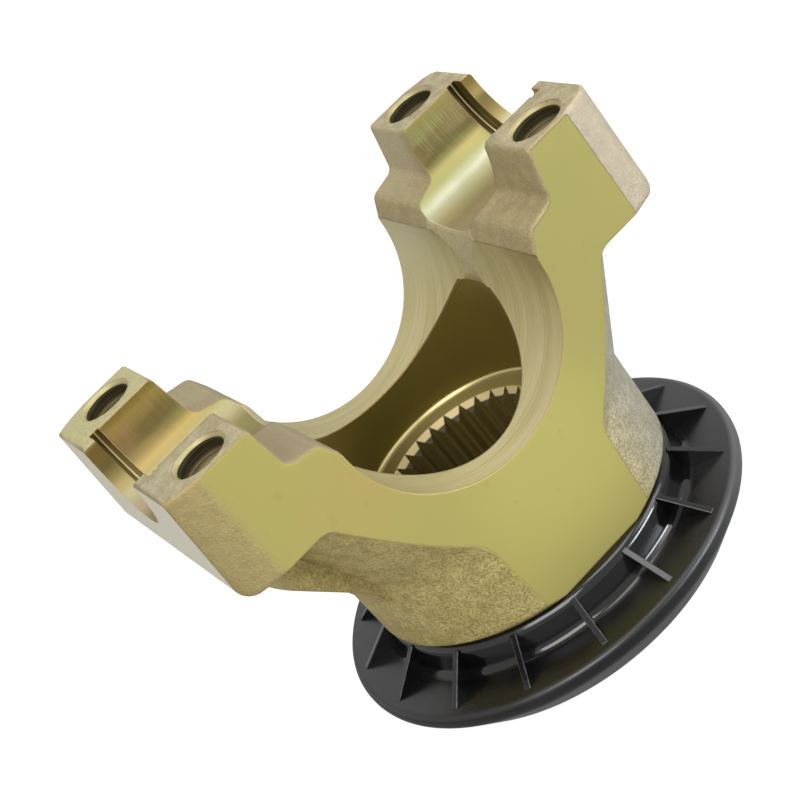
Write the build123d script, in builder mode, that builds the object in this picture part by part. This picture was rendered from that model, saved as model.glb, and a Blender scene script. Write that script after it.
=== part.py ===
import math
import os

from build123d import *

# A forged pinion end yoke for a universal joint, with its moulded dust shield.
# Millimetres. The hub axis is Z, the two ears stand along X, and the origin is
# on the hub axis at the end face that the part stands on.

# Bearing cap seats
cap_diameter = 30.18
seat_span = 92.1
lip_height = 2.3
root_groove_width = 0.9
root_groove_depth = 0.55
root_ridge_width = 0.3
cap_height = 82.0

# Strap bolt holes, tapped from the tops of the four bosses
bolt_spacing_x = 80.0
bolt_spacing_y = 46.6
bolt_hole_diameter = 9.52
bolt_hole_mouth_diameter = 10.9
bolt_hole_depth = 18.0

# Ears: one plain with a flat forged band at each corner, one rounded and with the lug
ear_width = 59.65
head_depth = 23.0
head_edge_radius = 3.0
plain_ear_reach = 50.0
plain_end_draft = 0.3
plain_band_length = 7.4
plain_band_angle = 18.5
plain_corner_radius = 4.5
lug_ear_reach = 51.0
lug_end_draft = 0.9
lug_round_length = 10.5
lug_round_drop = 2.8
lug_corner_radius = 1.4

# Jaw between the ears: leaning boss faces, a forged ledge, the machined swing clearance
plain_mouth_reach = 33.2
lug_mouth_reach = 32.4
jaw_waist = 62.4
ledge_drop = 9.6
ledge_gap = 50.6
ledge_edge_drop = 10.8
ledge_foot_drop = 14.7
jaw_corner_radius = 2.0
swing_radius = 23.4
swing_drop = 15.33

# Forged flare from the round hub out to the ears, turned about the hub axis before milling
flare_foot_drop = 47.4
flare_foot_radius = 33.1
flare_top_radius = 44.8
flare_foot_fillet = 12.0
underside_fillet = 2.6

# Balance lug left by the die on the outside of one ear
lug_foot_drop = 51.0
lug_knee_drop = 46.5
lug_crest_drop = 34.0
lug_foot_radius = 33.5
lug_knee_radius = 35.4
lug_crest_radius = 45.4
lug_top_radius = 46.6
lug_arc = 46.0
lug_round = 3.0

# Hub
hub_foot_height = 16.0
hub_foot_radius = 32.5
hub_foot_chamfer = 1.3
seal_radius = 24.2
seal_length = 6.4
seal_chamfer = 1.2

# Stepped bore: forged mouth cone, counterbore with its nut seat, splined bore
counterbore_radius = 22.0
nut_seat_drop = 48.5
nut_seat_chamfer = 0.9
mouth_cone_drop = 24.8
mouth_cone_angle = 15.8
spline_teeth = 30
spline_root_radius = 17.0
spline_tip_radius = 15.55
spline_space_width = 1.7
spline_flank_angle = 30.0
spline_chamfer = 0.6

# Dust shield, pressed on the hub below its foot
shield_seat_radius = 29.0
collar_top_radius = 32.2
collar_foot_radius = 33.1
collar_chamfer = 1.2
shield_radius = 43.35
shield_edge = 0.7
shield_drop = 6.2
web_thickness = 2.4
skirt_thickness = 2.2
skirt_wall = 2.6
skirt_depth = 8.8
skirt_taper = 5.95
rib_count = 16
rib_thickness = 1.3
rib_end_radius = 41.0
rib_start_drop = 0.5
rib_first_angle = 5.8

cap_radius = cap_diameter / 2
half_seat_span = seat_span / 2
half_width = ear_width / 2
underside = cap_height - head_depth
swing_height = cap_height - swing_drop
nut_seat_height = cap_height - nut_seat_drop
shield_top = hub_foot_height - shield_drop
web_bottom = shield_top - web_thickness
skirt_bottom = shield_top - skirt_depth
skirt_foot_radius = shield_radius - skirt_taper

# Outline seen from above: milled sides, and forged corners that lead to the end faces
with BuildSketch() as outline:
    band_slope = math.tan(math.radians(plain_band_angle))
    band_end = half_width - plain_band_length * band_slope
    round_end = half_width - lug_round_drop
    round_start = (lug_round_length - lug_ear_reach, half_width)
    with BuildLine():
        Polyline(
            round_start,
            (plain_ear_reach - plain_band_length, half_width),
            (plain_ear_reach, band_end),
            (plain_ear_reach, 0),
        )
        TangentArc(round_start, (-lug_ear_reach, round_end), tangent=(-1, 0))
        Line((-lug_ear_reach, round_end), (-lug_ear_reach, 0))
        mirror(about=Plane.XZ)
    make_face()
    for corner_x, corner_y, corner_radius in (
        (plain_ear_reach, band_end, plain_corner_radius),
        (-lug_ear_reach, round_end, lug_corner_radius),
    ):
        for row in (-1, 1):
            corner = outline.vertices().sort_by_distance((corner_x, row * corner_y))
            fillet(corner[0], radius=corner_radius)

with BuildPart() as forged_yoke:
    # Round hub, flare and head, with the seal surface and the shield's seat turned below
    with BuildSketch(Plane.XZ) as hub_profile:
        corner_reach = math.hypot(lug_ear_reach, half_width)
        with BuildLine():
            Polyline(
                (0, 0),
                (seal_radius - seal_chamfer, 0),
                (seal_radius, seal_chamfer),
                (seal_radius, seal_length),
                (shield_seat_radius, seal_length),
                (shield_seat_radius, hub_foot_height),
                (hub_foot_radius, hub_foot_height),
                (flare_foot_radius, cap_height - flare_foot_drop),
                (flare_top_radius, underside),
                (corner_reach, underside),
                (corner_reach, cap_height),
                (0, cap_height),
                close=True,
            )
        make_face()
        foot_corner = hub_profile.vertices().sort_by_distance((hub_foot_radius, hub_foot_height))
        chamfer(foot_corner[0], length=hub_foot_chamfer)
        for corner_at, corner_fillet in (
            ((flare_foot_radius, cap_height - flare_foot_drop), flare_foot_fillet),
            ((flare_top_radius, underside), underside_fillet),
        ):
            corner = hub_profile.vertices().sort_by_distance(corner_at)
            fillet(corner[0], radius=corner_fillet)
    revolve(axis=Axis.Z)

    # Balance lug on the ear at -X, a short arc of the same turned shape
    with BuildSketch(Plane.XZ.rotated((0, 0, 180 - lug_arc / 2))) as lug_profile:
        lug_root_radius = flare_foot_radius - lug_round
        with BuildLine():
            Polyline(
                (lug_root_radius, cap_height - lug_foot_drop),
                (lug_foot_radius, cap_height - lug_foot_drop),
                (lug_knee_radius, cap_height - lug_knee_drop),
                (lug_crest_radius, cap_height - lug_crest_drop),
                (lug_top_radius, underside),
                (lug_root_radius, underside),
                close=True,
            )
        make_face()
        corner = lug_profile.vertices().sort_by_distance(
            (lug_crest_radius, cap_height - lug_crest_drop)
        )
        fillet(corner[0], radius=lug_round)
    revolve(axis=Axis.Z, revolution_arc=lug_arc)

    # Sides milled flat down to the foot and ends trimmed to the outline
    add(outline.sketch)
    extrude(amount=cap_height, mode=Mode.INTERSECT)

    # Ends of the heads, with the die's draft, rounded into their undersides
    with BuildSketch(Plane.XZ) as side_view:
        flat_margin = 0.4
        ends = ((1, plain_ear_reach, plain_end_draft), (-1, lug_ear_reach, lug_end_draft))
        with BuildLine():
            for side, reach, draft in ends:
                Polyline(
                    (0, cap_height),
                    (side * (reach - draft), cap_height),
                    (side * reach, underside),
                    (side * (reach - head_edge_radius - flat_margin), underside),
                    (side * (reach - head_edge_radius - flat_margin), 0),
                    (0, 0),
                )
        make_face()
        for tip in (plain_ear_reach, -lug_ear_reach):
            corner = side_view.vertices().sort_by_distance((tip, underside))
            fillet(corner[0], radius=head_edge_radius)
    extrude(amount=ear_width, both=True, mode=Mode.INTERSECT)

    # Jaw between the ears and the swing clearance, cut right through
    with BuildSketch(Plane.XZ) as jaw:
        foot_half_gap = math.sqrt(swing_radius**2 - (swing_drop - ledge_foot_drop) ** 2)
        overrun = 1.0
        with BuildLine():
            for side, mouth_reach in ((1, plain_mouth_reach), (-1, lug_mouth_reach)):
                lean = (mouth_reach - jaw_waist / 2) / ledge_drop
                Polyline(
                    (0, cap_height + overrun),
                    (side * (mouth_reach + lean * overrun), cap_height + overrun),
                    (side * jaw_waist / 2, cap_height - ledge_drop),
                    (side * ledge_gap / 2, cap_height - ledge_edge_drop),
                    (side * foot_half_gap, cap_height - ledge_foot_drop),
                    (0, cap_height - ledge_foot_drop),
                )
        make_face()
        for side in (-1, 1):
            for gap, drop in ((jaw_waist, ledge_drop), (ledge_gap, ledge_edge_drop)):
                corner = jaw.vertices().sort_by_distance((side * gap / 2, cap_height - drop))
                fillet(corner[0], radius=jaw_corner_radius)
        with Locations((0, swing_height)):
            Circle(swing_radius)
    extrude(amount=ear_width, both=True, mode=Mode.SUBTRACT)

    # Mouth cone, counterbore, nut seat and the chamfer that leads into the splines
    with BuildSketch(Plane.XZ) as bore_profile:
        cone_slope = math.tan(math.radians(mouth_cone_angle))
        lead_in_radius = spline_root_radius + spline_chamfer
        lead_in_depth = lead_in_radius - spline_tip_radius
        with BuildLine():
            Polyline(
                (0, nut_seat_height - lead_in_depth),
                (spline_tip_radius, nut_seat_height - lead_in_depth),
                (lead_in_radius, nut_seat_height),
                (counterbore_radius, nut_seat_height),
                (counterbore_radius, cap_height - mouth_cone_drop),
                (counterbore_radius + mouth_cone_drop * cone_slope, cap_height),
                (0, cap_height),
                close=True,
            )
        make_face()
        seat_corner = bore_profile.vertices().sort_by_distance((counterbore_radius, nut_seat_height))
        chamfer(seat_corner[0], length=nut_seat_chamfer)
    revolve(axis=Axis.Z, mode=Mode.SUBTRACT)

    # Splined bore: one disc to the tooth tips and a tapered space between each two teeth
    with BuildSketch(Plane.XY):
        Circle(spline_tip_radius)
        space_foot_radius = spline_tip_radius - 0.3
        space_height = spline_root_radius - space_foot_radius
        pitch_radius = (spline_root_radius + spline_tip_radius) / 2
        flank = math.tan(math.radians(spline_flank_angle))
        space_foot = spline_space_width + 2 * (pitch_radius - space_foot_radius) * flank
        with PolarLocations(space_foot_radius + space_height / 2, spline_teeth):
            Trapezoid(space_foot, space_height, 90 - spline_flank_angle, rotation=-90)
    extrude(amount=nut_seat_height, mode=Mode.SUBTRACT)

    # Chamfer at the lower end of the splines
    with BuildSketch(Plane.XZ):
        with BuildLine():
            Polyline(
                (0, 0),
                (lead_in_radius, 0),
                (spline_tip_radius, lead_in_depth),
                (0, lead_in_depth),
                close=True,
            )
        make_face()
    revolve(axis=Axis.Z, mode=Mode.SUBTRACT)

    # Half-round cap seats with two narrow grooves at the foot of each retaining lip
    for side in (-1, 1):
        lip_face = half_seat_span + root_ridge_width + root_groove_width
        with BuildSketch(Plane.YZ):
            with Locations((0, cap_height)):
                Circle(cap_radius)
        extrude(amount=side * lip_face, mode=Mode.SUBTRACT)
        for groove_end in (half_seat_span, lip_face):
            with BuildSketch(Plane.YZ.offset(side * groove_end)):
                with Locations((0, cap_height)):
                    Circle(cap_radius + root_groove_depth)
            extrude(amount=-side * root_groove_width, mode=Mode.SUBTRACT)
        with BuildSketch(Plane.YZ):
            with Locations((0, cap_height)):
                Circle(cap_radius - lip_height)
        extrude(amount=side * corner_reach, mode=Mode.SUBTRACT)

    # Strap bolt holes, drilled blind and countersunk
    with Locations(Plane.XY.offset(cap_height)):
        with GridLocations(bolt_spacing_x, bolt_spacing_y, 2, 2):
            CounterSinkHole(
                bolt_hole_diameter / 2,
                bolt_hole_mouth_diameter / 2,
                depth=bolt_hole_depth,
                counter_sink_angle=90,
            )

forged_yoke.part.label = "forged_yoke"

# Moulded shield: collar on the hub's seat, web with radial gusset ribs, tapering skirt
with BuildPart() as dust_shield:
    with BuildSketch(Plane.XZ) as shield_profile:
        with BuildLine():
            Polyline(
                (shield_seat_radius, web_bottom),
                (shield_radius - skirt_thickness, web_bottom),
                (shield_radius - skirt_thickness, shield_top - skirt_wall),
                (skirt_foot_radius - skirt_thickness, skirt_bottom),
                (skirt_foot_radius, skirt_bottom),
                (shield_radius, shield_top - skirt_wall),
                (shield_radius, shield_top),
                (collar_foot_radius, shield_top),
                (collar_top_radius, hub_foot_height),
                (shield_seat_radius, hub_foot_height),
                close=True,
            )
        make_face()
        for corner_at, cut in (
            ((shield_radius, shield_top), shield_edge),
            ((collar_foot_radius, shield_top), collar_chamfer),
        ):
            corner = shield_profile.vertices().sort_by_distance(corner_at)
            chamfer(corner[0], length=cut)
    revolve(axis=Axis.Z)

    for index in range(rib_count):
        rib_plane = Plane.XZ.rotated((0, 0, rib_first_angle + index * 360 / rib_count))
        rib_root_radius = (shield_seat_radius + collar_top_radius) / 2
        rib_top = hub_foot_height - rib_start_drop
        with BuildSketch(rib_plane):
            with BuildLine():
                Polyline(
                    (rib_root_radius, shield_top - web_thickness / 2),
                    (rib_end_radius, shield_top - web_thickness / 2),
                    (rib_end_radius, shield_top),
                    (collar_top_radius, rib_top),
                    (rib_root_radius, rib_top),
                    close=True,
                )
            make_face()
        extrude(amount=rib_thickness / 2, both=True)

dust_shield.part.label = "dust_shield"

os.makedirs("parts", exist_ok=True)
export_step(forged_yoke.part, "parts/forged_yoke.step")
export_step(dust_shield.part, "parts/dust_shield.step")
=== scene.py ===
import math

import bmesh
import bpy
from mathutils import Matrix, Vector


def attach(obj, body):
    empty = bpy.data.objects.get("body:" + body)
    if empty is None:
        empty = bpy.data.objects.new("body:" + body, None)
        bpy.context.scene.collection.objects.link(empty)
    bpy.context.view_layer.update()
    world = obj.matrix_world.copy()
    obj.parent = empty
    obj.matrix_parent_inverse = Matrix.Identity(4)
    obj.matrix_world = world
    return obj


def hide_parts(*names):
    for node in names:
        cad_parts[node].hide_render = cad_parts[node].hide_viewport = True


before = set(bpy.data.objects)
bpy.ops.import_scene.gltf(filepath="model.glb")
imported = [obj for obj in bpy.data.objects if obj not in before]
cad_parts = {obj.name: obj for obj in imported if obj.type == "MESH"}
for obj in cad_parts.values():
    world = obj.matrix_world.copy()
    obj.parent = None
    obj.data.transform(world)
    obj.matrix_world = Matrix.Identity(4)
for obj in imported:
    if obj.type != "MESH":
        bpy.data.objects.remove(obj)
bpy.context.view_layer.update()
scene = bpy.context.scene
scene.view_settings.view_transform = "Standard"

# Camera
# The yoke stands on its hub end and is seen from above its milled front face, from the
# side of the ear with the forged lug. The camera is rolled, so the hub axis leans left.
camera_place = Vector((-0.075562, -0.309607, 0.209236))
camera_right = Vector((0.686395, -0.451603, -0.570015))
camera_up = Vector((0.698084, 0.189487, 0.690488))
camera_back = camera_right.cross(camera_up)
camera_data = bpy.data.cameras.new("photo_camera")
camera_data.sensor_width = 36.0
camera_data.lens = 88.194
camera_data.clip_start = 0.01
camera = bpy.data.objects.new("photo_camera", camera_data)
scene.collection.objects.link(camera)
camera_turn = Matrix((camera_right, camera_up, camera_back)).transposed()
camera.matrix_world = Matrix.Translation(camera_place) @ camera_turn.to_4x4()
scene.camera = camera


# Floor and light
# A plain white sheet under and behind the part, lit by three large soft boxes and by a
# low strip, which draws the long highlights on the shield's collar.
class Shade:
    """A socket of a material's node tree, with arithmetic that adds Math nodes."""

    def __init__(self, tree, socket=None):
        self.tree = tree
        self.socket = socket

    def node(self, kind, settings=None, inputs=None, output=0):
        """Adds a node: its settings first, then a value or link for each named input."""
        new = self.tree.nodes.new(kind)
        for key, value in (settings or {}).items():
            if key == "stops":
                ramp = new.color_ramp
                while len(ramp.elements) < len(value):
                    ramp.elements.new(1.0)
                for element, (place, colour) in zip(ramp.elements, value):
                    element.position = place
                    element.color = colour
            else:
                setattr(new, key, value)
        for key, value in (inputs or {}).items():
            if isinstance(value, Shade):
                self.tree.links.new(value.socket, new.inputs[key])
            else:
                new.inputs[key].default_value = value
        return Shade(self.tree, new.outputs[output]) if new.outputs else new

    def math(self, operation, *others):
        """A Math node on this value and any others."""
        values = dict(enumerate((self,) + others))
        return self.node("ShaderNodeMath", {"operation": operation}, values)

    def __add__(self, other):
        return self.math("ADD", other)

    def __radd__(self, other):
        return self.math("ADD", other)

    def __sub__(self, other):
        return self.math("SUBTRACT", other)

    def __rsub__(self, other):
        return self.node("ShaderNodeMath", {"operation": "SUBTRACT"}, {0: other, 1: self})

    def __mul__(self, other):
        return self.math("MULTIPLY", other)

    def __rmul__(self, other):
        return self.math("MULTIPLY", other)

    def __truediv__(self, other):
        return self.math("DIVIDE", other)

    def __neg__(self):
        return self.math("MULTIPLY", -1.0)

    def __abs__(self):
        return self.math("ABSOLUTE")

    def hypot(self, other):
        """The distance that two lengths at right angles make."""
        return (self * self + other * other).math("SQRT")

    def rise(self, low, high):
        """A smooth step from 0 at the low value to 1 at the high one."""
        limits = {0: self, 1: low, 2: high}
        return self.node("ShaderNodeMapRange", {"interpolation_type": "SMOOTHSTEP"}, limits)

    def near(self, value, reach):
        """1 within the reach of a value and 0 a quarter of the reach outside it."""
        return 1 - abs(self - value).rise(reach, reach * 1.25)

    def mix(self, low, high):
        """A colour between two colours, with this value as the share of the second."""
        sides = {0: self, 6: low, 7: high}
        return self.node("ShaderNodeMix", {"data_type": "RGBA"}, sides, output=2)


def empty_material(name):
    """A new material without nodes, and its tree ready for building."""
    material = bpy.data.materials.new(name)
    material.use_nodes = True
    material.node_tree.nodes.clear()
    return material, Shade(material.node_tree)


def stage_material(name, colour):
    """Matte, shown white to the camera with a faint shadow, and darker in reflections."""
    material, start = empty_material(name)
    seen = start.node("ShaderNodeLightPath", output="Is Camera Ray")
    mirrored = start.node("ShaderNodeLightPath", output="Is Glossy Ray")
    shown = seen.mix((0.18, 0.18, 0.18, 1), (1, 1, 1, 1))
    matte = start.node("ShaderNodeBsdfDiffuse", {}, {"Color": colour})
    lit = start.node("ShaderNodeEmission", {}, {"Color": shown, "Strength": 1.13})
    share = seen * 0.84 + mirrored * 0.75
    mixed = start.node("ShaderNodeMixShader", {}, {0: share, 1: matte, 2: lit})
    start.node("ShaderNodeOutputMaterial", {}, {"Surface": mixed})
    return material


bpy.ops.mesh.primitive_circle_add(vertices=96, radius=5.0, fill_type="NGON")
floor = bpy.context.object
floor.name = "floor"
floor.data.materials.append(stage_material("white_sheet", (0.82, 0.82, 0.82, 1)))

world = bpy.data.worlds.new("studio")
scene.world = world
world.use_nodes = True
world.node_tree.nodes.clear()
sky = Shade(world.node_tree)
sky_seen = sky.node("ShaderNodeLightPath", output="Is Camera Ray")
sky_mirrored = sky.node("ShaderNodeLightPath", output="Is Glossy Ray")
sky_strength = 0.55 + sky_seen * 0.45 + sky_mirrored * 0.35
sky_light = sky.node("ShaderNodeBackground", {}, {0: (1, 1, 1, 1), 1: sky_strength})
sky.node("ShaderNodeOutputWorld", {}, {"Surface": sky_light})


def soft_box(name, place, aim, size, watts, tint=(1.0, 1.0, 1.0)):
    """A rectangular lamp at a place, turned towards a point."""
    data = bpy.data.lights.new(name, "AREA")
    data.shape = "RECTANGLE"
    data.size, data.size_y = size
    data.energy = watts
    data.color = tint
    lamp = bpy.data.objects.new(name, data)
    scene.collection.objects.link(lamp)
    lamp.location = place
    lamp.rotation_euler = (Vector(aim) - Vector(place)).to_track_quat("-Z", "Y").to_euler()


part_middle = (0.0, 0.0, 0.045)
soft_box("key_box", (-0.45, -0.55, 0.85), part_middle, (0.6, 0.6), 7.5)
soft_box("fill_box", (0.75, -0.35, 0.6), part_middle, (0.5, 0.5), 2.6)
soft_box("top_box", (0.25, -0.10, 0.95), part_middle, (0.5, 0.4), 2.4)
soft_box("strip_box", (0.50, -0.53, 0.19), part_middle, (0.36, 0.11), 3.8, (0.86, 0.92, 1.0))

# Forged yoke
# One steel forging with milled faces, turned bores and broached splines, zinc plated
# and passivated yellow. Its shape comes from the frame, with doubled points merged, flat
# faces joined and the die's blunt edges rounded. Lengths here are in millimetres.
cap_height = 82.0
cap_radius = 15.09
groove_radius = 15.8
lip_radius = 12.79
seat_end = 45.15
ridge_end = 46.35
lip_face = 47.25
lug_end_face = 50.1
lug_end_lean = 0.039
plain_end_face = 49.7
plain_end_lean = 0.013
swing_height = 66.67
swing_radius = 23.4
ledge_foot = 67.3
jaw_half_width = 34.0
milled_side = 29.825
bore_radius = 22.0
bore_top = 57.2
mouth_flare = 0.283
nut_seat = 33.5
nut_seat_radius = 21.2
lead_in_radius = 17.6
tooth_root = 17.72
tooth_flank = 0.577
tooth_count = 30
hole_x = 40.0
hole_y = 23.3
hole_radius = 4.76
hole_mouth = 5.6
hole_depth = 18.0
cast_rounding = 0.9
sharp_angle = math.radians(24)

yoke_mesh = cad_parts["forged_yoke"].data.copy()
yoke_mesh.name = "yoke"
shape = bmesh.new()
shape.from_mesh(yoke_mesh)
bmesh.ops.remove_doubles(shape, verts=shape.verts, dist=1e-6)
bmesh.ops.dissolve_limit(
    shape, angle_limit=math.radians(0.4), verts=shape.verts, edges=shape.edges
)


def cast_edge(edge):
    """Tells the blunt edges left by the die on the bosses and along the jaw."""
    if not edge.is_manifold or edge.calc_face_angle(0.0) < sharp_angle:
        return False
    middle = (edge.verts[0].co + edge.verts[1].co) * 500
    hole_distance = math.hypot(abs(middle.x) - hole_x, abs(middle.y) - hole_y)
    bored = abs(middle.y) < groove_radius + 0.1 and abs(middle.x) < lip_face + 1.25
    on_top = all(vert.co.z * 1000 > cap_height - 0.01 for vert in edge.verts)
    on_side = all(abs(vert.co.y) * 1000 > milled_side - 0.005 for vert in edge.verts)
    beside_jaw = on_side and middle.z > ledge_foot + 0.1 and abs(middle.x) < jaw_half_width
    return (on_top or beside_jaw) and not bored and hole_distance > hole_mouth


cast_edges = [edge for edge in shape.edges if cast_edge(edge)]
bmesh.ops.bevel(
    shape,
    geom=cast_edges,
    offset=cast_rounding / 1000,
    segments=3,
    profile=0.5,
    affect="EDGES",
    clamp_overlap=True,
)
for face in shape.faces:
    face.smooth = True
for edge in shape.edges:
    edge.smooth = edge.is_manifold and edge.calc_face_angle(0.0) < sharp_angle
shape.to_mesh(yoke_mesh)
shape.free()
yoke = bpy.data.objects.new("yoke", yoke_mesh)
scene.collection.objects.link(yoke)
weights = yoke.modifiers.new("face_weights", "WEIGHTED_NORMAL")
weights.keep_sharp = True
weights.weight = 80


def plain(red, green, blue):
    """A colour given as it looks on a screen, from 0 to 255, made linear."""
    parts = [value / 255 for value in (red, green, blue)]
    linear = [p / 12.92 if p < 0.04045 else ((p + 0.055) / 1.055) ** 2.4 for p in parts]
    return (*linear, 1.0)


def plated_steel():
    """Zinc plate, passivated yellow: smooth where milled or turned, sandy where forged.

    Each zone of the yoke is a mask made from its place in millimetres. Its colour goes
    over the one before it, and what is left of the mask "forged" keeps its sandy grain.
    """
    material, start = empty_material("plated_steel")
    place = start.node("ShaderNodeTexCoord", output="Object")
    mm = start.node("ShaderNodeVectorMath", {"operation": "SCALE"}, {0: place, "Scale": 1000.0})
    x, y, z = (start.node("ShaderNodeSeparateXYZ", {}, {0: mm}, i) for i in range(3))

    def noise(scale, detail, roughness, stretch=(1.0, 1.0, 1.0)):
        """Noise by place, drawn out along each axis whose stretch is small."""
        spread = start.node("ShaderNodeVectorMath", {"operation": "MULTIPLY"}, {0: mm, 1: stretch})
        sizes = {"Vector": spread, "Scale": scale, "Detail": detail, "Roughness": roughness}
        return start.node("ShaderNodeTexNoise", {}, sizes)

    def changed_normal(share, normal, other):
        """A surface direction changed to another one, by a share."""
        sides = {0: share, 4: normal, 5: other}
        return start.node("ShaderNodeMix", {"data_type": "VECTOR"}, sides, output=1)

    side = abs(y)
    reach = abs(x)
    hub_radius = x.hypot(y)
    cap_distance = y.hypot(z - cap_height)
    patches = noise(0.09, 3.0, 0.55).rise(0.35, 0.65)
    mottle = noise(0.35, 4.0, 0.6).rise(0.35, 0.65)
    grain = noise(2.2, 4.0, 0.68)
    grit = grain.rise(0.38, 0.62)
    head = z.rise(56.0, 60.0)
    top = z.rise(cap_height - 0.10, cap_height - 0.03)

    # Forged skin: khaki gold on the hub, buff in the jaw, and a paler skin on the hub's right
    # below the plain ear that is painted light
    lit_right_side = x.rise(4.0, 26.0) * (1 - head)
    hub_skin = mottle.mix(plain(160, 145, 89), plain(178, 163, 106))
    lit_pale_skin = mottle.mix(plain(150, 143, 124), plain(162, 156, 139))
    jaw_skin = mottle.mix(plain(150, 136, 98), plain(161, 147, 106))
    jaw_skin = (1 - x.rise(-4.0, 4.0)).mix(jaw_skin, plain(143, 131, 98))
    far_jaw = y.rise(14.0, 20.0) * z.rise(70.0, 74.0)
    jaw_skin = (far_jaw * 0.85).mix(jaw_skin, plain(175, 163, 128))
    skin = head.mix(lit_right_side.mix(hub_skin, lit_pale_skin), jaw_skin)
    lug_band = mottle.mix(plain(152, 136, 88), plain(158, 142, 94))
    plain_band = mottle.mix(plain(166, 154, 132), plain(173, 161, 138))
    on_lug_ear = (-x).rise(40.0, 42.0) * side.rise(24.5, 26.0) * head
    on_plain_ear = x.rise(42.2, 42.8) * side.rise(24.5, 26.0) * head
    skin = on_lug_ear.mix(skin, lug_band)
    skin = on_plain_ear.mix(skin, plain_band)

    # Milled sides: yellow olive that drifts to tan near the lug ear, painted darker towards the
    # right as painted shade against the strip lamp, with a round pool of painted light low in the
    # middle
    lug_blend = 0.35 - 0.25 * x.rise(-30.0, 0.0)
    milled = side.rise(milled_side - lug_blend, milled_side - 0.02)
    tan_place = (x + 24.0).hypot((z - 60.0) * 1.3)
    tan = (1 - tan_place.rise(2.0, 17.0)) * 0.45 + patches * 0.2
    # Painted shade: the milled faces are darker towards the right
    shaded_right_share = x.rise(-26.0, 22.0)
    milled_colour = shaded_right_share.mix(plain(157, 149, 81), plain(149, 142, 79))
    milled_colour = tan.mix(milled_colour, plain(166, 144, 84))
    # Painted light: a round lighter pool low in the middle of the milled faces
    painted_light_pool = 1 - (x - 4.0).hypot(z - 37.0).rise(6.0, 26.0)
    milled_colour = (painted_light_pool * 0.8).mix(milled_colour, plain(168, 161, 88))
    stains = noise(0.3, 3.0, 0.6, (1.0, 1.0, 0.6)).rise(0.60, 0.76)
    milled_colour = (stains * 0.35).mix(milled_colour, plain(146, 130, 72))
    colour = milled.mix(skin, milled_colour)
    forged = 1 - milled

    # Turned swing lobes: pale khaki with fine cutter lines round the jaw, painted light low at the
    # back and painted shade under the ledge at the front
    lobe = x.hypot(z - swing_height).near(swing_radius, 0.2) * (1 - milled)
    lobe = lobe * (1 - z.rise(ledge_foot - 0.1, ledge_foot + 0.1))
    cutter_lines = noise(1.0, 4.0, 0.6, (0.05, 1.4, 0.05)).rise(0.3, 0.7)
    lobe_colour = cutter_lines.mix(plain(166, 154, 105), plain(175, 165, 112))
    coarse_lines = noise(1.0, 3.0, 0.5, (0.04, 0.42, 0.04)).rise(0.35, 0.65)
    lobe_colour = (coarse_lines * 0.5).mix(lobe_colour, plain(190, 178, 134))
    lit_lobe = y.rise(4.0, 22.0) * z.rise(50.0, 62.0)
    lobe_colour = lit_lobe.mix(lobe_colour, plain(196, 186, 144))
    shaded_lobe = (-y).rise(12.0, 29.0) * z.rise(56.0, 66.0)
    lobe_colour = (shaded_lobe * 0.65).mix(lobe_colour, plain(141, 128, 85))
    colour = lobe.mix(colour, lobe_colour)
    forged = forged * (1 - lobe)

    # Trimmed end faces of the ears, which lean outwards below the boss tops
    below_top = cap_height - z
    lug_end = (-x - lug_end_face - below_top * lug_end_lean).rise(-0.06, -0.02)
    plain_end = (x - plain_end_face - below_top * plain_end_lean).rise(-0.06, -0.02)
    ends = lug_end + plain_end

    # Cap seats: bored bright, with bands of painted reflection along the axis of the caps, a pale
    # painted highlight among darker ones, and soft blushes of the plate's own tints
    seat = cap_distance.near(cap_radius, 0.15) * (1 - reach.rise(seat_end - 0.1, seat_end))
    seat = seat * (1 - milled) * (1 - z.rise(cap_height - 0.08, cap_height - 0.02))
    turn = y.math("ARCTAN2", below_top) / math.pi + 0.5

    def bands(*stops):
        """Bands of painted reflection in a bore, each at its share of the way from front to back.
        """
        stops = tuple((share, plain(*colour)) for share, *colour in stops)
        return turn.node("ShaderNodeValToRGB", {"stops": stops}, {0: turn})

    plain_seat_reflections = bands(
        (0.50, 142, 128, 93),
        (0.56, 130, 117, 75),
        (0.62, 143, 135, 91),
        (0.67, 154, 152, 117),
        (0.70, 176, 176, 150),
        (0.75, 150, 143, 84),
        (0.79, 162, 147, 87),
        (0.815, 113, 103, 50),
        (0.84, 79, 71, 22),
        (0.91, 90, 78, 28),
        (1.00, 145, 130, 73),
    )
    lug_seat_reflections = bands(
        (0.62, 122, 111, 64),
        (0.70, 146, 139, 100),
        (0.73, 148, 140, 98),
        (0.755, 142, 131, 75),
        (0.785, 158, 136, 74),
        (0.82, 116, 103, 46),
        (0.86, 85, 71, 21),
        (0.90, 95, 77, 27),
        (0.96, 134, 113, 52),
        (1.00, 114, 93, 35),
    )
    seat_lines = noise(1.0, 4.0, 0.7, (1.4, 0.05, 0.05)).rise(0.3, 0.7)
    seat_colour = x.rise(-0.1, 0.1).mix(lug_seat_reflections, plain_seat_reflections)
    blush = noise(0.16, 2.0, 0.5, (0.5, 1.0, 1.0))
    seat_colour = (blush.rise(0.5, 0.68) * 0.16).mix(seat_colour, plain(168, 130, 90))
    seat_colour = ((1 - blush.rise(0.34, 0.48)) * 0.22).mix(seat_colour, plain(120, 134, 82))
    colour = seat.mix(colour, seat_colour)
    forged = forged * (1 - seat)
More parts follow.
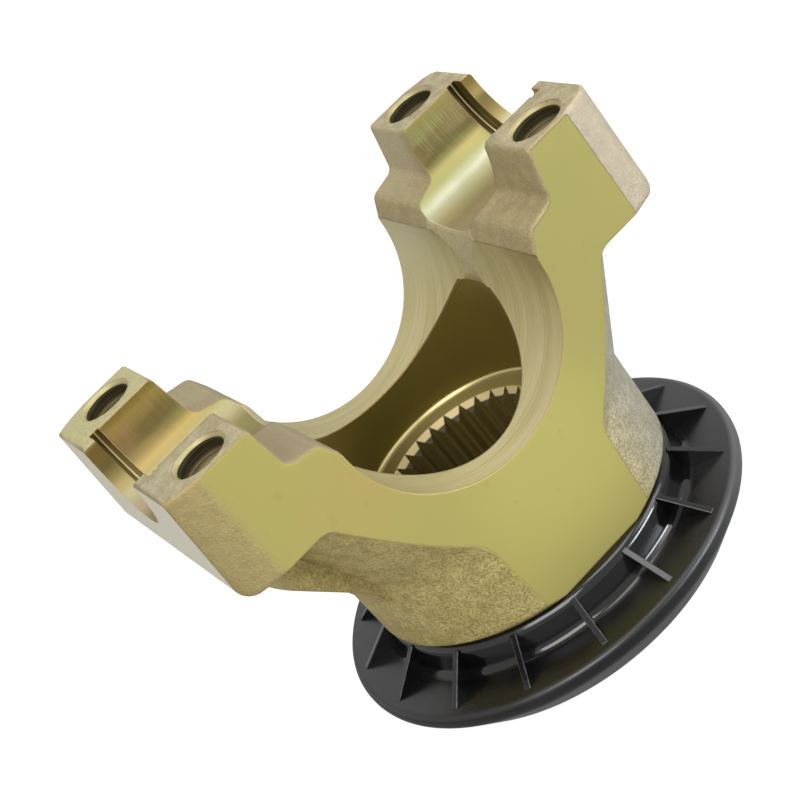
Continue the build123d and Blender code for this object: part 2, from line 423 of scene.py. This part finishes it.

    # Grooves at the foot of the lips in painted shade, with a painted highlight on the ridge
    # between them, and the inner walls of the lips in painted shade too
    lip_zone = reach.rise(seat_end - 0.02, seat_end + 0.02) * (1 - top)
    lip_zone = lip_zone * (1 - cap_distance.rise(groove_radius, groove_radius + 0.1))
    lip_zone = lip_zone * (1 - ends)
    groove = lip_zone * (1 - reach.rise(lip_face - 0.03, lip_face - 0.01))
    ridge = groove * reach.near(ridge_end - 0.15, 0.14) * (1 - cap_distance.rise(15.2, 15.3))
    groove_shade = x.rise(-0.1, 0.1).mix(plain(98, 82, 40), plain(66, 54, 24))
    groove_colour = ridge.mix(groove_shade, plain(176, 160, 112))
    colour = groove.mix(colour, groove_colour)
    # Painted shade on the inner wall of each lip
    shaded_lip_wall = lip_zone * reach.near(lip_face, 0.05)
    colour = shaded_lip_wall.mix(colour, plain(122, 108, 58))
    lip_top = lip_zone * cap_distance.near(lip_radius, 0.12) * reach.rise(lip_face, lip_face + 0.1)
    # Bands of painted reflection round the lip tops, as on the seats
    lip_reflections = bands(
        (0.00, 166, 152, 106),
        (0.50, 158, 147, 117),
        (0.62, 170, 153, 119),
        (0.70, 141, 133, 101),
        (0.78, 143, 127, 77),
        (0.83, 119, 103, 59),
        (0.88, 92, 81, 39),
        (0.95, 124, 103, 51),
        (1.00, 131, 113, 58),
    )
    colour = lip_top.mix(colour, lip_reflections)
    forged = forged * (1 - lip_zone)

    # Boss tops: khaki grey plate over the forged face, with pits and brown specks
    top_colour = mottle.mix(plain(147, 136, 100), plain(166, 155, 123))
    back_lug_top = (-x).rise(0.0, 1.0) * y.rise(0.0, 1.0)
    top_colour = back_lug_top.mix(top_colour, plain(170, 162, 119))
    pits = noise(0.9, 2.0, 0.5).rise(0.66, 0.72)
    top_colour = (pits * 0.6).mix(top_colour, plain(104, 90, 60))
    rust = noise(1.6, 2.0, 0.5).rise(0.68, 0.74)
    top_colour = (rust * 0.5).mix(top_colour, plain(136, 98, 70))
    colour = top.mix(colour, top_colour)
    forged = forged * (1 - top * 0.3)

    # Ends of the ears, painted pale as painted light, as from a lamp on the left
    lit_ends = ends * (1 - top) * head
    colour = lit_ends.mix(colour, plain(208, 204, 184))
    forged = forged * (1 - lit_ends * 0.8)

    # Bore: a dark olive wall in painted shade, a matte nut seat painted darker on the lug ear's
    # side with a painted highlight along its chamfer, and tooth ends painted pale as painted light
    # above painted shade
    cone_radius = bore_radius + (z - bore_top) * mouth_flare
    wall = hub_radius.near(bore_radius, 0.2) * (1 - z.rise(bore_top - 0.1, bore_top + 0.1))
    wall = wall * z.rise(nut_seat + 0.7, nut_seat + 0.9)
    cone = (hub_radius - cone_radius).near(0.0, 0.25) * z.rise(bore_top - 0.1, bore_top + 0.1)
    cone = cone * (1 - milled) * (1 - lobe)
    # Painted shade: the bore's wall is dark olive, a little darker lower down
    shaded_wall_colour = z.rise(34.0, 56.0).mix(plain(124, 110, 50), plain(130, 115, 54))
    cone_colour = z.rise(bore_top, bore_top + 1.8).mix(plain(150, 136, 86), plain(176, 165, 128))
    colour = wall.mix(colour, shaded_wall_colour)
    colour = (cone * (0.75 + 0.25 * grit)).mix(colour, cone_colour)
    past_seat = hub_radius.rise(nut_seat_radius - 0.05, nut_seat_radius + 0.05)
    seat_ring = z.near(nut_seat, 0.08) * (1 - past_seat)
    rim = past_seat * (1 - hub_radius.rise(bore_radius - 0.02, bore_radius + 0.05))
    rim = rim * z.rise(nut_seat - 0.1, nut_seat) * (1 - z.rise(nut_seat + 0.9, nut_seat + 1.0))
    # Painted shade: the nut seat is darker on the lug ear's side
    seat_ring_shade = x.rise(-16.0, 6.0).mix(plain(103, 91, 46), plain(143, 129, 80))
    colour = seat_ring.mix(colour, seat_ring_shade)
    # Painted highlight: a pale line along the middle of the chamfer
    rim_highlight = hub_radius.near((nut_seat_radius + bore_radius) / 2, 0.12)
    colour = rim.mix(colour, rim_highlight.mix(plain(140, 127, 76), plain(186, 176, 128)))
    splined = 1 - hub_radius.rise(lead_in_radius, lead_in_radius + 0.05)
    splined = splined * (1 - z.rise(nut_seat - 0.08, nut_seat - 0.04))
    colour = splined.mix(colour, plain(111, 96, 47))
    # Painted shade on the lower half of the splines' lead-in chamfer
    lead_in = splined * (hub_radius - z + (nut_seat - lead_in_radius)).near(0.0, 0.12)
    colour = lead_in.mix(colour, plain(60, 50, 24))
    # Painted light: tooth ends pale on the upper half of the chamfer
    lit_tooth_end = lead_in * z.rise(nut_seat - 1.2, nut_seat - 1.0)
    tooth_angle = 2 * math.pi / tooth_count
    tooth_turn = y.math("ARCTAN2", x) / tooth_angle + (tooth_count + 0.5)
    from_space = abs(tooth_turn.math("FRACT") - 0.5) * tooth_angle * hub_radius
    space_half = (tooth_root - hub_radius) * tooth_flank
    lit_tooth_end = lit_tooth_end * (from_space - space_half).rise(0.0, 0.06)
    colour = lit_tooth_end.mix(colour, plain(190, 172, 126))
    forged = forged * (1 - wall) * (1 - cone * 0.7) * (1 - seat_ring) * (1 - rim) * (1 - splined)

    # Strap bolt holes: painted shade at the top of the wall, painted glints on the threads deeper
    # down, and countersinks that shine on their inner half
    hole_distance = (reach - hole_x).hypot(side - hole_y)
    hole_foot = cap_height - hole_depth
    in_hole = 1 - hole_distance.rise(hole_mouth - 0.1, hole_mouth)
    in_hole = in_hole * (1 - top) * z.rise(hole_foot - 2.0, hole_foot - 1.5)
    mouth = in_hole * z.rise(cap_height - 0.8, cap_height - 0.7)
    sink = mouth * (1 - hole_distance.rise(4.95, 5.25))
    hole_shade = z.rise(cap_height - 4.2, cap_height - 2.2)
    hole_light_and_shade = hole_shade.mix(plain(176, 164, 118), plain(62, 54, 28))
    colour = in_hole.mix(colour, hole_light_and_shade)
    colour = mouth.mix(colour, top_colour)
    colour = sink.mix(colour, plain(160, 148, 102))
    forged = forged * (1 - in_hole)

    # Rounded look of the edges, and the orange brown line that wear leaves along them
    flat = start.node("ShaderNodeNewGeometry", output="Normal")
    soft = start.node("ShaderNodeBevel", {"samples": 6}, {"Radius": 0.0005})
    broad = start.node("ShaderNodeBevel", {"samples": 6}, {"Radius": 0.0014})
    dot = {"operation": "DOT_PRODUCT"}
    lined = start.node("ShaderNodeVectorMath", dot, {0: flat, 1: soft}, output="Value")
    edge_line = (1 - lined.rise(0.84, 0.99)) * (1 - splined) * (1 - lip_zone - in_hole)
    colour = (edge_line * 0.75).mix(colour, plain(174, 136, 88))

    # Finish: bored places are smooth and bright, turned ones satin, and forged skin rough
    bright = (seat + lip_zone + ridge + rim + sink * 0.4).math("MINIMUM", 1.0)
    turned = (lobe + wall + seat_ring + milled).math("MINIMUM", 1.0)
    rough = 0.56 - 0.12 * turned - 0.24 * bright + 0.12 * seat + (grit - 0.5) * 0.12 * forged
    metal = 0.45 + 0.25 * bright - 0.3 * seat - 0.10 * milled + 0.2 * wall
    skin_height = grain * forged + noise(0.5, 3.0, 0.6) * forged * 0.8
    line_height = cutter_lines * lobe * 0.4 + seat_lines * seat * 0.12
    height = skin_height + line_height

    # Speckle of the forged skin, fainter on the heads and on the ends of the ears
    cut = milled + seat + lobe + wall + seat_ring + rim + splined + in_hole + lip_zone
    as_forged = 1 - cut.math("MINIMUM", 1.0)
    calmed = (1 - 0.5 * lit_ends) * (1 - 0.5 * on_lug_ear) * (1 - 0.5 * on_plain_ear)
    speckle = (0.6 - 0.3 * head) * as_forged * calmed
    speckled = {0: speckle, 6: colour, 7: grit.mix((0.58, 0.56, 0.49, 1), (1.4, 1.4, 1.38, 1))}
    multiply = {"data_type": "RGBA", "blend_type": "MULTIPLY"}
    colour = start.node("ShaderNodeMix", multiply, speckled, output=2)

    # Surface directions: rounded edges, and the true round of the lobes and the bore
    rounding = changed_normal(as_forged, soft, broad)
    rounding = changed_normal(lip_zone, rounding, flat)
    towards_jaw = {"X": -x / swing_radius, "Z": (swing_height - z) / swing_radius}
    lobe_normal = start.node("ShaderNodeCombineXYZ", {}, towards_jaw)
    rounding = changed_normal(lobe * (1 - edge_line), rounding, lobe_normal)
    towards_bore = {"X": -x / bore_radius, "Y": -y / bore_radius}
    wall_normal = start.node("ShaderNodeCombineXYZ", {}, towards_bore)
    rounding = changed_normal(wall * (1 - edge_line), rounding, wall_normal)
    relief = start.node(
        "ShaderNodeBump",
        {},
        {"Strength": 0.85, "Distance": 0.00026, "Height": height, "Normal": rounding},
    )
    steel = start.node(
        "ShaderNodeBsdfPrincipled",
        {},
        {"Base Color": colour, "Roughness": rough, "Metallic": metal, "Normal": relief},
    )
    start.node("ShaderNodeOutputMaterial", {}, {"Surface": steel})
    return material


steel_plate = plated_steel()
yoke_mesh.materials.clear()
yoke_mesh.materials.append(steel_plate)
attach(yoke, "root")
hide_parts("forged_yoke")


# Threads in the strap bolt holes
# Each hole is tapped in the steel itself. The thread is a three-sided ridge wound up the
# wall of the hole, made once by nodes and set in all four holes. Lengths are in metres.
class Nodes:
    """A Geometry Nodes tree with named inputs, built node by node."""

    def __init__(self, name, sizes):
        self.tree = bpy.data.node_groups.new(name, "GeometryNodeTree")
        self.sizes = sizes
        self.keys = {}
        for label, (kind, value) in sizes.items():
            socket = self.tree.interface.new_socket(label, in_out="INPUT", socket_type=kind)
            self.keys[label] = socket.identifier
        self.tree.interface.new_socket(
            "Geometry", in_out="OUTPUT", socket_type="NodeSocketGeometry"
        )
        self.given = self.tree.nodes.new("NodeGroupInput")
        self.result = self.tree.nodes.new("NodeGroupOutput")

    def size(self, label):
        """The socket of a named input."""
        return self.given.outputs[label]

    def node(self, kind, settings=None, inputs=None, output=0):
        """Adds a node: its settings first, then a value or link for each named input."""
        new = self.tree.nodes.new(kind)
        for key, value in (settings or {}).items():
            setattr(new, key, value)
        for key, value in (inputs or {}).items():
            if isinstance(value, bpy.types.NodeSocket):
                self.tree.links.new(value, new.inputs[key])
            else:
                new.inputs[key].default_value = value
        return new.outputs[output]

    def math(self, operation, first, second=0.0):
        """A Math node on two values."""
        return self.node("ShaderNodeMath", {"operation": operation}, {0: first, 1: second})

    def baked(self, name, geometry):
        """Runs the tree on a new object and leaves it as a plain mesh with closed ends."""
        joined = self.node("GeometryNodeRealizeInstances", {}, {0: geometry})
        joined = self.node(
            "GeometryNodeSetMaterial", {}, {"Geometry": joined, "Material": self.size("Material")}
        )
        self.tree.links.new(joined, self.result.inputs[0])
        made = bpy.data.objects.new(name, bpy.data.meshes.new(name))
        scene.collection.objects.link(made)
        modifier = made.modifiers.new(name, "NODES")
        modifier.node_group = self.tree
        for label, (kind, value) in self.sizes.items():
            modifier[self.keys[label]] = value
        shape = made.evaluated_get(bpy.context.evaluated_depsgraph_get())
        mesh = bpy.data.meshes.new_from_object(shape)
        made.modifiers.remove(modifier)
        made.data = mesh
        return made


thread = Nodes(
    "bolt_thread",
    {
        "Turns": ("NodeSocketFloat", 15.0),
        "Wall Radius": ("NodeSocketFloat", hole_radius / 1000),
        "Ridge": ("NodeSocketFloat", 0.00022),
        "Height": ("NodeSocketFloat", 0.0158),
        "Foot Height": ("NodeSocketFloat", 0.0652),
        "Spacing X": ("NodeSocketFloat", 2 * hole_x / 1000),
        "Spacing Y": ("NodeSocketFloat", 2 * hole_y / 1000),
        "Material": ("NodeSocketMaterial", steel_plate),
    },
)
winding = thread.node(
    "GeometryNodeCurveSpiral",
    {},
    {
        "Resolution": 36,
        "Rotations": thread.size("Turns"),
        "Start Radius": thread.size("Wall Radius"),
        "End Radius": thread.size("Wall Radius"),
        "Height": thread.size("Height"),
    },
)
winding = thread.node("GeometryNodeSetCurveNormal", {"mode": "Z_UP"}, {"Curve": winding})
ridge_outline = thread.node(
    "GeometryNodeCurvePrimitiveCircle",
    {"mode": "RADIUS"},
    {"Resolution": 3, "Radius": thread.size("Ridge")},
)
coil = thread.node(
    "GeometryNodeCurveToMesh",
    {},
    {"Curve": winding, "Profile Curve": ridge_outline, "Fill Caps": True},
)
holes = thread.node(
    "GeometryNodeMeshGrid",
    {},
    {
        "Size X": thread.size("Spacing X"),
        "Size Y": thread.size("Spacing Y"),
        "Vertices X": 2,
        "Vertices Y": 2,
    },
)
lift = thread.node("ShaderNodeCombineXYZ", {}, {"Z": thread.size("Foot Height")})
holes = thread.node("GeometryNodeSetPosition", {}, {"Geometry": holes, "Offset": lift})
coils = thread.node("GeometryNodeInstanceOnPoints", {}, {"Points": holes, "Instance": coil})
threads = thread.baked("bolt_threads", coils)
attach(threads, "root")

# Dust shield
# One ring moulded in glossy black plastic and pressed on the hub: a collar, a flat web
# stiffened by radial gusset ribs, and a tapering skirt. The ring is turned from a
# profile with rounded bends, and the ribs are set round it by nodes. Lengths are in metres.
seat_radius = 0.0290
collar_top_radius = 0.0322
collar_foot_radius = 0.0331
collar_top = 0.0160
web_top = 0.0098
web_bottom = 0.0074
rim_radius = 0.04335
skirt_outer_foot = 0.0374
skirt_bottom = 0.0010
skirt_thickness = 0.0022


def rounded(corners, steps=6):
    """Points of a closed outline, with each corner (place, radius) rounded by an arc."""
    points = []
    for index, (corner, radius) in enumerate(corners):
        here = Vector(corner)
        before = (Vector(corners[index - 1][0]) - here).normalized()
        after = (Vector(corners[(index + 1) % len(corners)][0]) - here).normalized()
        if radius == 0.0:
            points.append(here)
            continue
        half = before.angle(after) / 2
        middle = here + (before + after).normalized() * (radius / math.sin(half))
        start = here + before * (radius / math.tan(half)) - middle
        sweep = start.angle_signed(here + after * (radius / math.tan(half)) - middle)
        for step in range(steps + 1):
            turned = start.copy()
            turned.rotate(Matrix.Rotation(-sweep * step / steps, 2))
            points.append(middle + turned)
    return points


ring_outline = rounded(
    (
        ((seat_radius, collar_top), 0.0002),
        ((collar_top_radius, collar_top), 0.0020),
        ((collar_foot_radius, web_top), 0.0019),
        ((rim_radius, web_top), 0.0012),
        ((rim_radius, web_top - 0.0026), 0.0020),
        ((skirt_outer_foot, skirt_bottom), 0.0004),
        ((skirt_outer_foot - skirt_thickness, skirt_bottom), 0.0004),
        ((rim_radius - skirt_thickness, web_bottom), 0.0008),
        ((seat_radius, web_bottom), 0.0002),
    )
)
ring_steps = 192
ring = bmesh.new()
rows = []
for step in range(ring_steps):
    angle = 2 * math.pi * step / ring_steps
    rows.append(
        [ring.verts.new((p.x * math.cos(angle), p.x * math.sin(angle), p.y)) for p in ring_outline]
    )
for step, row in enumerate(rows):
    after = rows[(step + 1) % ring_steps]
    for index in range(len(row)):
        below = (index + 1) % len(row)
        face = ring.faces.new((row[index], row[below], after[below], after[index]))
        face.smooth = True
bmesh.ops.recalc_face_normals(ring, faces=ring.faces)
ring_mesh = bpy.data.meshes.new("shield_ring")
ring.to_mesh(ring_mesh)
ring.free()
shield = bpy.data.objects.new("shield_ring", ring_mesh)
scene.collection.objects.link(shield)


def black_plastic():
    """Glossy black moulding, hazed, duller on web and rim, with painted highlights on edges and
    rim.
    """
    material, start = empty_material("black_plastic")
    place = start.node("ShaderNodeTexCoord", output="Object")
    haze = start.node("ShaderNodeTexNoise", {}, {"Vector": place, "Scale": 90.0, "Detail": 3.0})
    flow = start.node("ShaderNodeTexNoise", {}, {"Vector": place, "Scale": 900.0, "Detail": 2.0})
    colour = haze.rise(0.4, 0.7).mix((0.0022, 0.0022, 0.0024, 1), (0.0042, 0.004, 0.0037, 1))
    x, y, z = (place.node("ShaderNodeSeparateXYZ", {}, {0: place}, i) * 1000 for i in range(3))
    web = z.near(web_top * 1000, 0.12)
    outer_edge = x.hypot(y).rise(41.8, 42.8)
    rough = 0.10 + 0.10 * haze.rise(0.4, 0.7) + 0.16 * web + 0.22 * outer_edge
    flat = start.node("ShaderNodeNewGeometry", output="Normal")
    soft = start.node("ShaderNodeBevel", {"samples": 4}, {"Radius": 0.0003})
    dot = {"operation": "DOT_PRODUCT"}
    edge_glints = start.node("ShaderNodeVectorMath", dot, {0: flat, 1: soft}, output="Value")
    # Painted highlights along the edges, broken up by noise
    edge_glints = (1 - edge_glints.rise(0.86, 0.99)) * flow.rise(0.35, 0.6)
    colour = (edge_glints * 0.8).mix(colour, (0.11, 0.115, 0.125, 1))
    # Painted sheen: the rim's outer face is grey towards the right
    colour = (outer_edge * x.rise(5.0, 40.0)).mix(colour, (0.06, 0.06, 0.06, 1))
    relief = start.node(
        "ShaderNodeBump", {}, {"Strength": 0.12, "Distance": 0.00008, "Height": flow}
    )
    plastic = start.node(
        "ShaderNodeBsdfPrincipled",
        {},
        {"Base Color": colour, "Roughness": rough, "IOR": 1.52, "Normal": relief},
    )
    start.node("ShaderNodeOutputMaterial", {}, {"Surface": plastic})
    return material


shield_plastic = black_plastic()
ring_mesh.materials.append(shield_plastic)

gusset = Nodes(
    "gusset_ribs",
    {
        "Count": ("NodeSocketInt", 16),
        "Thickness": ("NodeSocketFloat", 0.00125),
        "Root Radius": ("NodeSocketFloat", 0.0306),
        "Top Radius": ("NodeSocketFloat", 0.0322),
        "End Radius": ("NodeSocketFloat", 0.0410),
        "Top Height": ("NodeSocketFloat", 0.0155),
        "End Height": ("NodeSocketFloat", 0.0099),
        "Foot Height": ("NodeSocketFloat", 0.0086),
        "First Angle": ("NodeSocketFloat", math.radians(5.8)),
        "Material": ("NodeSocketMaterial", shield_plastic),
    },
)


def rib_corner(radius, height):
    """A corner of the rib's outline, drawn flat with its height along Y."""
    return gusset.node(
        "ShaderNodeCombineXYZ", {}, {"X": gusset.size(radius), "Y": gusset.size(height)}
    )


rib_outline = gusset.node(
    "GeometryNodeCurvePrimitiveQuadrilateral",
    {"mode": "POINTS"},
    {
        "Point 1": rib_corner("Root Radius", "Foot Height"),
        "Point 2": rib_corner("End Radius", "Foot Height"),
        "Point 3": rib_corner("End Radius", "End Height"),
        "Point 4": rib_corner("Top Radius", "Top Height"),
    },
)
rib_face = gusset.node("GeometryNodeFillCurve", {"mode": "NGONS"}, {"Curve": rib_outline})
half_thickness = gusset.math("MULTIPLY", gusset.size("Thickness"), -0.5)
aside = gusset.node("ShaderNodeCombineXYZ", {}, {"Z": half_thickness})
rib_face = gusset.node("GeometryNodeSetPosition", {}, {"Geometry": rib_face, "Offset": aside})
rib_body = gusset.node(
    "GeometryNodeExtrudeMesh",
    {"mode": "FACES"},
    {"Mesh": rib_face, "Offset": (0.0, 0.0, 1.0), "Offset Scale": gusset.size("Thickness")},
)
rib_back = gusset.node("GeometryNodeFlipFaces", {}, {"Mesh": rib_face})
rib_solid = gusset.tree.nodes.new("GeometryNodeJoinGeometry")
gusset.tree.links.new(rib_body, rib_solid.inputs[0])
gusset.tree.links.new(rib_back, rib_solid.inputs[0])
rib_solid = gusset.node("GeometryNodeMergeByDistance", {}, {"Geometry": rib_solid.outputs[0]})
rib_solid = gusset.node(
    "GeometryNodeTransform", {}, {"Geometry": rib_solid, "Rotation": (math.pi / 2, 0.0, 0.0)}
)
rib_places = gusset.node("GeometryNodePoints", {}, {"Count": gusset.size("Count")})
rib_number = gusset.node("GeometryNodeInputIndex")
rib_pitch = gusset.math("DIVIDE", 2 * math.pi, gusset.size("Count"))
rib_angle = gusset.math("MULTIPLY", rib_number, rib_pitch)
rib_angle = gusset.math("ADD", rib_angle, gusset.size("First Angle"))
rib_turn = gusset.node("ShaderNodeCombineXYZ", {}, {"Z": rib_angle})
ribs = gusset.node(
    "GeometryNodeInstanceOnPoints",
    {},
    {"Points": rib_places, "Instance": rib_solid, "Rotation": rib_turn},
)
rib_set = gusset.baked("shield_ribs", ribs)
rib_edges = rib_set.modifiers.new("moulded_edges", "BEVEL")
rib_edges.width = 0.00018
rib_edges.segments = 2
rib_edges.limit_method = "ANGLE"
rib_edges.harden_normals = True

for piece in (shield, rib_set):
    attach(piece, "root")
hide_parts("dust_shield")
